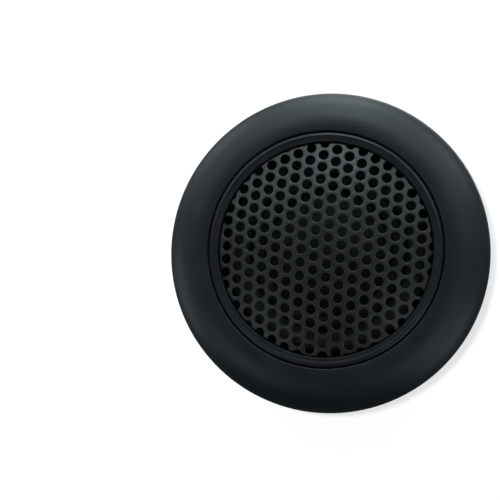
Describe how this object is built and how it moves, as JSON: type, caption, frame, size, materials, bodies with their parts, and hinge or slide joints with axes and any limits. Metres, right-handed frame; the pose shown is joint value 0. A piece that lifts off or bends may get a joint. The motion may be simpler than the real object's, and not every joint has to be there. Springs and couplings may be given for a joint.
{
  "type": "car tweeter",
  "caption": "Round surface-mount dome tweeter with a rounded bezel and a domed perforated grille, for car audio.",
  "frame": {"origin": "centre of the adhesive pad's underside, which is the lowest face", "axes": "+Z out through the grille, along the tweeter's axis; -Y towards the cable inlet"},
  "size_m": [0.05, 0.05, 0.0188],
  "materials": {
    "soft_touch": "satin soft-touch paint on moulded plastic",
    "satin_black": "fine satin moulded plastic",
    "grille_paint": "satin dark grey paint on perforated sheet",
    "inner_black": "matt black moulded plastic",
    "foam": "matt closed-cell foam",
    "rubber": "matt black rubber",
    "silk": "coated black woven silk",
    "felt": "grey wool felt",
    "polyimide": "amber polyimide film",
    "phenolic": "brown phenolic board",
    "capacitor_sleeve": "shrunk plastic sleeve",
    "red_lead": "red plastic insulation",
    "black_lead": "black plastic insulation",
    "copper": "enamelled copper wire",
    "brass": "tin-bright brass strip",
    "nickel": "nickel plating",
    "zinc_steel": "zinc plating on pressed steel",
    "black_steel": "black oxide on steel"
  },
  "bodies": {
    "pod": {"front_bezel": "soft_touch", "trim_ring": "satin_black", "grille": "grille_paint", "front_gasket": "foam", "faceplate": "inner_black", "surround": "rubber", "damping_pad": "felt", "pole_plate": "zinc_steel", "magnet": "nickel", "yoke_cup": "zinc_steel", "driver_chassis": "inner_black", "terminal_board": "phenolic", "terminal_positive": "brass", "terminal_negative": "brass", "coil_lead_positive": "red_lead", "coil_lead_negative": "black_lead", "crossover_capacitor": "capacitor_sleeve", "capacitor_lead": "red_lead", "rear_housing": "satin_black", "cable_grommet": "rubber", "housing_screw_1": "black_steel", "housing_screw_2": "black_steel", "housing_screw_3": "black_steel", "adhesive_pad": "foam"},
    "diaphragm": {"dome_diaphragm": "silk", "voice_coil_former": "polyimide", "voice_coil_winding": "copper"}
  },
  "joints": [
    {"name": "diaphragm_travel", "type": "slide", "parent": "pod", "child": "diaphragm", "axis": [0, 0, 1], "range_m": [-0.0003, 0.0003], "stiffness_N_per_m": 4000, "deforming": ["surround"]}
  ]
}
